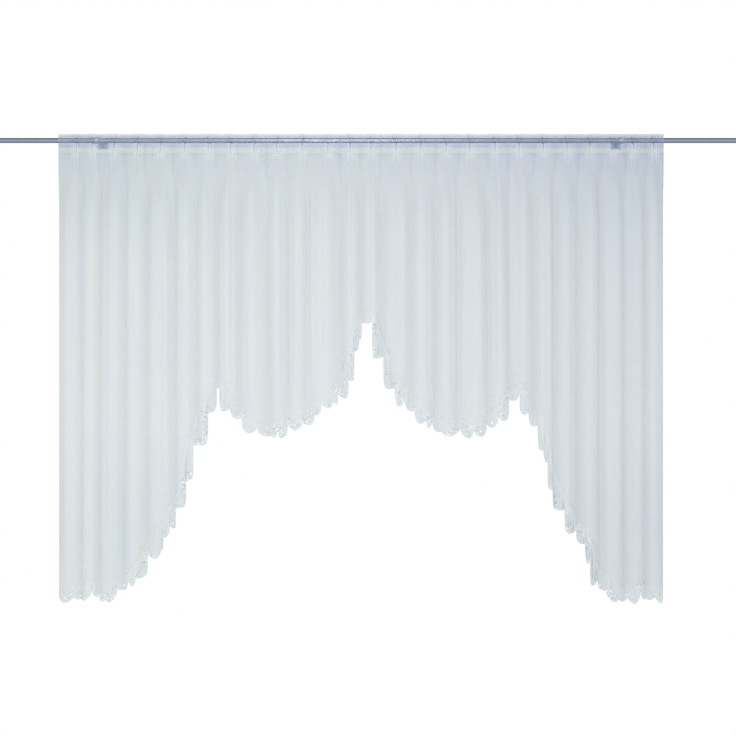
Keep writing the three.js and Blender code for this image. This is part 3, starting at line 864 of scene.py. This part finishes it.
def voile_cloth(sizes, finishes):
    bm, across, down = cloth_grid(FOLD_COUNT * sizes.columns_per_fold, sizes.rows)
    outline, _, _ = scallop_outline(sizes.lace_step)
    u = across * FOLD_COUNT
    z = np.full_like(u, -0.6)
    for _ in range(3):
        foot = -seam_drop(cloth_across(u, z, sizes), outline, sizes)
        z = mix(TOP, foot, down ** 1.45)
    x, y = cloth_across(u, z, sizes), cloth_depth(u, z, sizes)
    # The cover and shade attributes carry painted shade and painted highlight, from voile_cover and
    # shade_at.
    values = {"cover": voile_cover(u, x, z, sizes, finishes), "shade": shade_at(x, z)}
    flat_points = np.column_stack([flat_across(u, sizes), TOP - z])
    place_cloth(bm, np.column_stack([x, y, z]), flat_points, values)
    piece = make_piece("voile_cloth", bm, voile_material(finishes), ["voile_panel"])


def tape_cloth(sizes, finishes):
    bm, across, down = cloth_grid(FOLD_COUNT * 48, 12)
    u = across * FOLD_COUNT
    z = mix(TAPE_TOP, TAPE_BOTTOM, down)
    x = cloth_across(u, z, sizes)
    pucker = 0.35 * MM * np.sin(math.tau * down * 3) * np.cos(across * math.tau * 400)
    behind = 0.9 * MM * np.minimum(np.sqrt(1 + slope_at(u, z, sizes) ** 2), 2)
    y = cloth_depth(u, z, sizes) + behind + pucker
    flat_points = np.column_stack([flat_across(u, sizes, -0.03), TAPE_TOP - z])
    place_cloth(bm, np.column_stack([x, y, z]), flat_points, {})
    piece = make_piece("tape_cloth", bm, tape_material(finishes), ["heading_tape"])


def distance_to_line(x, drop, line):
    """How far each point lies from the nearest point of a finely stepped line."""
    away = np.empty(len(x))
    for low in range(0, len(x), 2000):
        part = slice(low, low + 2000)
        away[part] = np.hypot(x[part, None] - line[:, 0], drop[part, None] - line[:, 1]).min(axis=1)
    return away


# The large eyelets, one in each wide scallop: what counts as wide, how far above the tip they are,
# half their width and height, and as shares of that the reach within which the grid is cut and the
# one to which it is rounded.
WIDE_SCALLOP = 26 * MM
EYELET_ABOVE_TIP = 17 * MM
EYELET_HALF = 1.1 * MM, 1.5 * MM
EYELET_CUT = 0.62
EYELET_EASE = 1.3
starts_x = np.append(EDGE_START[0], scallops["notch_x"][:-1]) * MM
scallop_widths = scallops["notch_x"] * MM - starts_x
is_wide = scallop_widths > WIDE_SCALLOP
EYELET_X = (starts_x + scallop_widths / 2)[is_wide]
EYELET_Z = EYELET_ABOVE_TIP - (scallops["tip_drop"] * MM)[is_wide]


def eyelet_offset(x, z):
    """How far across and up each point lies from the middle of the nearest large eyelet."""
    across, up = x[:, None] - EYELET_X, z[:, None] - EYELET_Z
    nearest = np.argmin(np.hypot(across, up), axis=1)
    line = np.arange(len(x))
    return across[line, nearest], up[line, nearest]


def eyelet_reach(x, z):
    """The distance from the middle of the nearest large eyelet, 1 on its rim."""
    across, up = eyelet_offset(x, z)
    return np.hypot(across / EYELET_HALF[0], up / EYELET_HALF[1])


def lace_cloth(sizes, finishes):
    """The lace, in columns that hang straight down from above the seam to the scalloped edge."""
    outline, owners, shares = scallop_outline(sizes.lace_step)
    even = np.linspace(-HALF_WIDTH, HALF_WIDTH, 4001)
    seam = seam_drop(even, outline, sizes)
    slope = np.gradient(seam, even)
    along = np.append(0, np.cumsum(np.hypot(np.diff(even), np.diff(seam))))
    run = np.append(0, np.cumsum(np.hypot(*np.diff(outline, axis=0).T)))
    bm, across, down = cloth_grid(len(outline) - 1, sizes.lace_rows)
    column = np.rint(across * (len(outline) - 1)).astype(int)
    tooth = np.abs(np.sin(math.pi * run / sizes.tooth_pitch)) ** 0.7 - 1
    foot = outline[:, 1] + tooth * sizes.tooth_height
    leaning = np.sqrt(1 + np.interp(outline[:, 0], even, slope) ** 2)
    head = np.interp(outline[:, 0], even, seam) - sizes.lace_lap * leaning
    x, z = outline[column, 0], -mix(head[column], foot[column], down)
    strip = -(head[column] + z) / leaning[column]
    rim = distance_to_line(x, -z, np.column_stack([outline[:, 0], foot]))
    lap = sizes.lace_lap - strip
    free = np.clip(-lap / sizes.lace_width, 0, 1.5)
    turn = np.array([dice.uniform(0, math.tau) for _ in SCALLOP_ROWS])[owners][column]
    length = np.interp(x, even, along)
    wave = np.sin(math.tau * length / (52 * MM)) + 0.6 * np.sin(turn) * np.sin(math.pi * shares[column])
    u = u_at(x, z, sizes)
    lift = 0.5 * MM * np.minimum(np.sqrt(1 + slope_at(u, z, sizes) ** 2), 2)
    y = cloth_depth(u, z, sizes) - lift - sizes.ruffle * free ** 1.5 * (0.4 + wave)
    # The lace takes the voile's cover and shade at the same place, with their painted shade and painted
    # highlight.
    values = {"cover": voile_cover(u, x, z, sizes, finishes), "shade": shade_at(x, z), "rim": rim}
    flat_points = np.column_stack([length, strip])
    away = eyelet_reach(x, z)
    rounded = (away > EYELET_CUT) & (away < EYELET_EASE)
    push = np.where(rounded, 1 / np.maximum(away, 0.1) - 1, 0)
    push = push * (EYELET_EASE - away) / (EYELET_EASE - EYELET_CUT)
    beside, up = eyelet_offset(x, z)
    values |= {"eyelet": (away - 1) * 2 * MM, "lap": lap}
    place_cloth(bm, np.column_stack([x + push * beside, y, z + push * up]), flat_points, values)
    inside = [vert for vert, reach in zip(bm.verts, away) if reach <= EYELET_CUT]
    bmesh.ops.delete(bm, geom=inside, context="VERTS")
    piece = make_piece("lace_cloth", bm, lace_material(finishes), ["lace_edging"])


def turned(radius, segments, profile):
    """A shape turned about the X axis from its profile of (x, radius) points."""
    bm = bmesh.new()
    verts = [bm.verts.new((x, 0, away)) for x, away in profile]
    edges = [bm.edges.new(pair) for pair in zip(verts, verts[1:])]
    bmesh.ops.spin(
        bm, geom=verts + edges, axis=(1, 0, 0), cent=(0, 0, 0), steps=segments,
        angle=math.tau, use_merge=True)
    bmesh.ops.remove_doubles(bm, verts=bm.verts, dist=radius * 1e-4)
    bmesh.ops.recalc_face_normals(bm, faces=bm.faces)
    return bm


def tube_profile(half, inner, outer, ease):
    """A tube's wall with eased outer edges, as (x, radius) points."""
    return [
        (-half, inner), (-half, outer - ease), (-half + ease, outer), (half - ease, outer),
        (half, outer - ease), (half, inner), (-half, inner),
    ]


def rod_pieces(sizes, finishes):
    """The rod, with painted shade along its top and its underside and its steel painted lighter behind
    the curtain as a painted highlight, and its two domed end caps.
    """
    steel = brushed_metal(
        "rod_steel", finishes.rod, 0.24, 1.0, (0.02, 1, 1),
        # Painted shade along the rod's top and its underside.
        (finishes.rod_painted_shade, lambda x, y, z: z.size().between(4.1 * MM, 5.5 * MM)),
        # The ends keep the plainer colour, so the steel behind the curtain stands lighter as a painted
        # highlight.
        (finishes.rod_end,
         lambda x, y, z: x.size().between(HALF_WIDTH, HALF_WIDTH + 8 * MM) * 0.75))
    half, outer, inner = sizes.length / 2, sizes.radius, sizes.radius - sizes.wall
    ease, fit = 0.3 * MM, 0.3 * MM
    bm = turned(outer, 64, tube_profile(half, inner, outer, ease))
    bmesh.ops.translate(bm, vec=(0, ROD_Y, 0), verts=bm.verts)
    make_piece("rod_tube", bm, steel, ["rod"])
    lacquer = brushed_metal("cap_lacquer", finishes.bracket, 0.4, 0.5, (1, 1, 1))
    spigot, length, radius, rounding = 12 * MM, sizes.cap_length, sizes.cap_radius, 3.2 * MM
    dome = [
        (length - rounding * (1 - math.sin(turn)), radius - rounding * (1 - math.cos(turn)))
        for turn in np.linspace(0, math.pi / 2, 7)
    ]
    profile = [(-spigot, 0), (-spigot, inner - fit), (0, inner - fit), (0, radius - ease)]
    profile += [(ease, radius), *dome, (length, 0)]
    for side, name in ((1, "rod_cap_right"), (-1, "rod_cap_left")):
        bm = turned(radius, 48, profile)
        turn = Matrix.Rotation(0 if side > 0 else math.pi, 4, "Z")
        shift = Matrix.Translation((side * (half + fit), ROD_Y, 0))
        bmesh.ops.transform(bm, matrix=shift @ turn, verts=bm.verts)
        make_piece(name + "_turned", bm, lacquer, [name])


# How the rings hang: their leans in degrees from upright, how far below and above the rod's axis a
# lean reaches, and the heights between which the tail narrows to a share of the wire's width.
RING_LEANS = 13, 16, 19, 22, -12
RING_FOOT = 14 * MM
RING_TOP = 12 * MM
TAIL_TAPER = -13 * MM, -9 * MM
TAIL_WIDTH = 0.4


def ring_pieces(sizes, finishes):
    """Each ring: a round wire up the back of the tape and round the rod."""
    steel = brushed_metal(
        "ring_wire", finishes.ring, 0.16, 0.6, (1, 1, 1),
        # Painted shade on the wire at the rod's top and underside.
        (finishes.ring_painted_shade,
         lambda x, y, z: z.size().between(2.6 * MM, 4 * MM) * z.between(-11 * MM, -9.5 * MM)))
    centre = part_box("hook_ring_01")[1].z - sizes.loop - sizes.wire
    tail_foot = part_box("hook_ring_01")[0].z
    for name, x in zip(RING_NAMES, RING_X):
        bm = bmesh.new()
        made = bmesh.ops.create_circle(bm, cap_ends=True, segments=12, radius=sizes.wire)
        foot = Matrix.Translation((x, ROD_Y - sizes.loop, tail_foot))
        bmesh.ops.transform(bm, matrix=foot, verts=made["verts"])
        grown = bmesh.ops.extrude_face_region(bm, geom=bm.faces[:])["geom"]
        moved = [item for item in grown if isinstance(item, bmesh.types.BMVert)]
        bmesh.ops.translate(bm, vec=(0, 0, centre - tail_foot), verts=moved)
        top = [item for item in grown if isinstance(item, bmesh.types.BMFace)]
        bmesh.ops.spin(
            bm, geom=top, axis=(-1, 0, 0), cent=(x, ROD_Y, centre), steps=40,
            angle=math.tau - sizes.ring_gap)
        bmesh.ops.delete(bm, geom=top, context="FACES_ONLY")
        lean = math.tan(math.radians(dice.choice(RING_LEANS)))
        heights = tail_foot, -RING_FOOT, RING_TOP
        shifts = 0, RING_FOOT * lean, -RING_TOP * lean
        for vert in bm.verts:
            thin = float(np.interp(vert.co.z, TAIL_TAPER, (TAIL_WIDTH, 1)))
            shift = float(np.interp(vert.co.z, heights, shifts))
            vert.co.x = x + (vert.co.x - x) * thin + shift
        bmesh.ops.recalc_face_normals(bm, faces=bm.faces)
        make_piece(name + "_wire", bm, steel, [name])


def bevel(bm, edges, offset, segments):
    bmesh.ops.bevel(
        bm, geom=list(edges), offset=offset, segments=segments, profile=0.5, affect="EDGES",
        material=-1)


def bracket_pieces(finishes):
    """Each bracket: a holder round the rod, a boss in front, an arm and a screwed wall plate."""
    lacquer = brushed_metal(
        "bracket_lacquer", finishes.bracket, 0.36, 0.9, (1, 1, 1),
        # Painted light on the bosses' fronts and on the plates' lower half; the dark upper half of each
        # plate is painted shadow under the rod.
        (finishes.bracket_painted_light, lambda x, y, z: 1 - y.between(-95.5 * MM, -95 * MM)),
        (finishes.bracket_painted_light,
         lambda x, y, z: y.between(-6 * MM, -5 * MM) * (1 - z.between(2 * MM, 4.5 * MM))))
    for side in ("left", "right"):
        low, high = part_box(f"bracket_{side}")
        x = (low.x + high.x) / 2
        inner, outer = 8.3 * MM, 10.3 * MM
        bm = turned(outer, 48, tube_profile(7 * MM, inner, outer, 0.7 * MM))
        face_on = Matrix.Rotation(math.radians(90), 4, "X")
        arm_length = -ROD_Y - outer - 2 * MM
        parts = [
            (7 * MM, 7 * MM, 2.2 * MM, (0, -outer + 0.6 * MM, 0)),
            (5 * MM, 5 * MM, arm_length, (0, outer - 0.5 * MM + arm_length / 2, 0)),
            (7.2 * MM, 5 * MM, 4 * MM, (0, -ROD_Y - 5 * MM, 0)),
        ]
        for back, front, depth, middle in parts:
            made = bmesh.ops.create_cone(
                bm, cap_ends=True, segments=32, radius1=front, radius2=back, depth=depth,
                matrix=Matrix.Translation(middle) @ face_on)
            rims = {
                edge for vert in made["verts"] for edge in vert.link_edges
                if len(edge.link_faces) == 2 and edge.calc_face_angle(0) > 1
            }
            bevel(bm, rims, 0.5 * MM, 2)
        plate = bmesh.ops.create_cube(
            bm, size=1, matrix=Matrix.Translation((0, -ROD_Y - 1.5 * MM, 0))
            @ Matrix.Diagonal((34 * MM, 3 * MM, 24 * MM, 1)))
        edges = {edge for vert in plate["verts"] for edge in vert.link_edges}
        bevel(bm, edges, 0.8 * MM, 3)
        for screw in (-12 * MM, 12 * MM):
            bmesh.ops.create_uvsphere(
                bm, u_segments=20, v_segments=8, radius=1,
                matrix=Matrix.Translation((screw, -ROD_Y - 3 * MM, 0))
                @ Matrix.Diagonal((3 * MM, 1.2 * MM, 3 * MM, 1)))
        bmesh.ops.translate(bm, vec=(x, ROD_Y, 0), verts=bm.verts)
        make_piece(f"bracket_{side}_lacquered", bm, lacquer, [f"bracket_{side}"])


def pale_floor():
    bm = bmesh.new()
    bmesh.ops.create_grid(bm, x_segments=1, y_segments=1, size=1)
    spread = Matrix.Translation((0, -1.2, -2.3)) @ Matrix.Diagonal((3.2, 2.0, 1, 1))
    bmesh.ops.transform(bm, matrix=spread, verts=bm.verts)
    mesh = bpy.data.meshes.new("floor")
    bm.to_mesh(mesh)
    bm.free()
    nodes = material_nodes("pale_floor")
    grain = nodes.noise(nodes.position(), 6.0)
    matt = nodes.add(
        "ShaderNodeBsdfPrincipled",
        inputs={"Base Color": nodes.blend(grain, (0.84, 0.85, 0.86, 1), (0.88, 0.88, 0.88, 1)),
                "Roughness": 0.6, "Emission Color": (1, 1, 1, 1), "Emission Strength": 0.3})
    mesh.materials.append(nodes.finish(matt))
    floor = bpy.data.objects.new("floor", mesh)
    bpy.context.scene.collection.objects.link(floor)


def surrounding():
    """White for the camera. Other rays meet a soft light, strongest in front and at eye level."""
    nodes = Nodes(bpy.data.worlds.new("studio"))
    _, y, z = nodes.axes(nodes.add("ShaderNodeTexCoord", output="Generated"))
    strength = z.size().between(0.15, 0.95, 1.0, 0.3) * y.between(-0.1, 0.45, 0.78, 0.2)
    white = nodes.add("ShaderNodeBackground", inputs={"Color": (1, 1, 1, 1)})
    soft = nodes.add(
        "ShaderNodeBackground", inputs={"Color": (0.84, 0.93, 1, 1), "Strength": strength})
    seen = nodes.add("ShaderNodeLightPath", output="Is Camera Ray")
    choice = nodes.add("ShaderNodeMixShader", inputs={0: seen, 1: soft, 2: white})
    bpy.context.scene.world = nodes.finish(choice)


def area_light(name, size, energy, location, target):
    data = bpy.data.lights.new(name, "AREA")
    data.shape = "DISK"
    data.size = size
    data.energy = energy
    data.color = (0.98, 1, 0.97)
    light = bpy.data.objects.new(name, data)
    light.location = location
    aim = Vector(target) - Vector(location)
    light.rotation_euler = aim.to_track_quat("-Z", "Y").to_euler()
    bpy.context.scene.collection.objects.link(light)


def studio():
    """The floor, the white surrounding, two soft lights in the middle and the camera."""
    pale_floor()
    surrounding()
    area_light("high", 1.2, 11, (-0.1, -2.0, 0.6), (-0.1, 0, -0.7))
    area_light("low", 1.0, 12, (-0.1, -2.2, -1.65), (-0.1, 0, -0.85))
    data = bpy.data.cameras.new("camera")
    data.sensor_width = 36
    data.lens = 51.8
    camera = bpy.data.objects.new("camera", data)
    camera.location = (0.023, -3.6, -0.755)
    camera.rotation_euler = (math.radians(90), 0, 0)
    bpy.context.scene.collection.objects.link(camera)
    bpy.context.scene.camera = camera
    bpy.context.scene.view_settings.view_transform = "Standard"


class CURTAIN_OT_stage(bpy.types.Operator):
    """Makes the floor, the light and the camera"""

    bl_idname = "curtain.stage"
    bl_label = "Stage"

    def execute(self, context):
        studio()
        return {"FINISHED"}


class CURTAIN_OT_voile(bpy.types.Operator):
    """Makes the gathered voile"""

    bl_idname = "curtain.voile"
    bl_label = "Voile"

    def execute(self, context):
        voile_cloth(context.scene.curtain_sizes, context.scene.curtain_finishes)
        return {"FINISHED"}


class CURTAIN_OT_tape(bpy.types.Operator):
    """Makes the heading tape behind the voile"""

    bl_idname = "curtain.tape"
    bl_label = "Heading tape"

    def execute(self, context):
        tape_cloth(context.scene.curtain_sizes, context.scene.curtain_finishes)
        return {"FINISHED"}


class CURTAIN_OT_lace(bpy.types.Operator):
    """Makes the scalloped lace along the lower edge"""

    bl_idname = "curtain.lace"
    bl_label = "Lace"

    def execute(self, context):
        lace_cloth(context.scene.curtain_sizes, context.scene.curtain_finishes)
        return {"FINISHED"}


class CURTAIN_OT_rod(bpy.types.Operator):
    """Makes the rod and its end caps"""

    bl_idname = "curtain.rod"
    bl_label = "Rod"

    def execute(self, context):
        rod_pieces(context.scene.curtain_rod, context.scene.curtain_finishes)
        return {"FINISHED"}


class CURTAIN_OT_rings(bpy.types.Operator):
    """Makes the wire rings on the rod"""

    bl_idname = "curtain.rings"
    bl_label = "Rings"

    def execute(self, context):
        ring_pieces(context.scene.curtain_rod, context.scene.curtain_finishes)
        return {"FINISHED"}


class CURTAIN_OT_brackets(bpy.types.Operator):
    """Makes the two wall brackets"""

    bl_idname = "curtain.brackets"
    bl_label = "Brackets"

    def execute(self, context):
        bracket_pieces(context.scene.curtain_finishes)
        return {"FINISHED"}


class CURTAIN_PT_panel(bpy.types.Panel):
    """Lists the curtain's sizes, finishes and pieces"""

    bl_idname = "CURTAIN_PT_panel"
    bl_label = "Curtain"
    bl_space_type = "VIEW_3D"
    bl_region_type = "UI"
    bl_category = "Curtain"

    def draw(self, context):
        scene = context.scene
        for group in (scene.curtain_sizes, scene.curtain_rod, scene.curtain_finishes):
            box = self.layout.box()
            for name in group.__annotations__:
                box.prop(group, name)
        for operator in OPERATORS:
            self.layout.operator(operator.bl_idname)


OPERATORS = (
    CURTAIN_OT_stage,
    CURTAIN_OT_voile,
    CURTAIN_OT_tape,
    CURTAIN_OT_lace,
    CURTAIN_OT_rod,
    CURTAIN_OT_rings,
    CURTAIN_OT_brackets,
)
CLASSES = (CurtainSizes, RodSizes, Finishes, *OPERATORS, CURTAIN_PT_panel)


def register():
    for each in CLASSES:
        bpy.utils.register_class(each)
    bpy.types.Scene.curtain_sizes = PointerProperty(type=CurtainSizes)
    bpy.types.Scene.curtain_rod = PointerProperty(type=RodSizes)
    bpy.types.Scene.curtain_finishes = PointerProperty(type=Finishes)


def unregister():
    del bpy.types.Scene.curtain_finishes
    del bpy.types.Scene.curtain_rod
    del bpy.types.Scene.curtain_sizes
    for each in reversed(CLASSES):
        bpy.utils.unregister_class(each)


def main():
    register()
    bpy.ops.curtain.stage()
    bpy.ops.curtain.voile()
    bpy.ops.curtain.tape()
    bpy.ops.curtain.lace()
    bpy.ops.curtain.rod()
    bpy.ops.curtain.rings()
    bpy.ops.curtain.brackets()


if __name__ == "__main__":
    main()
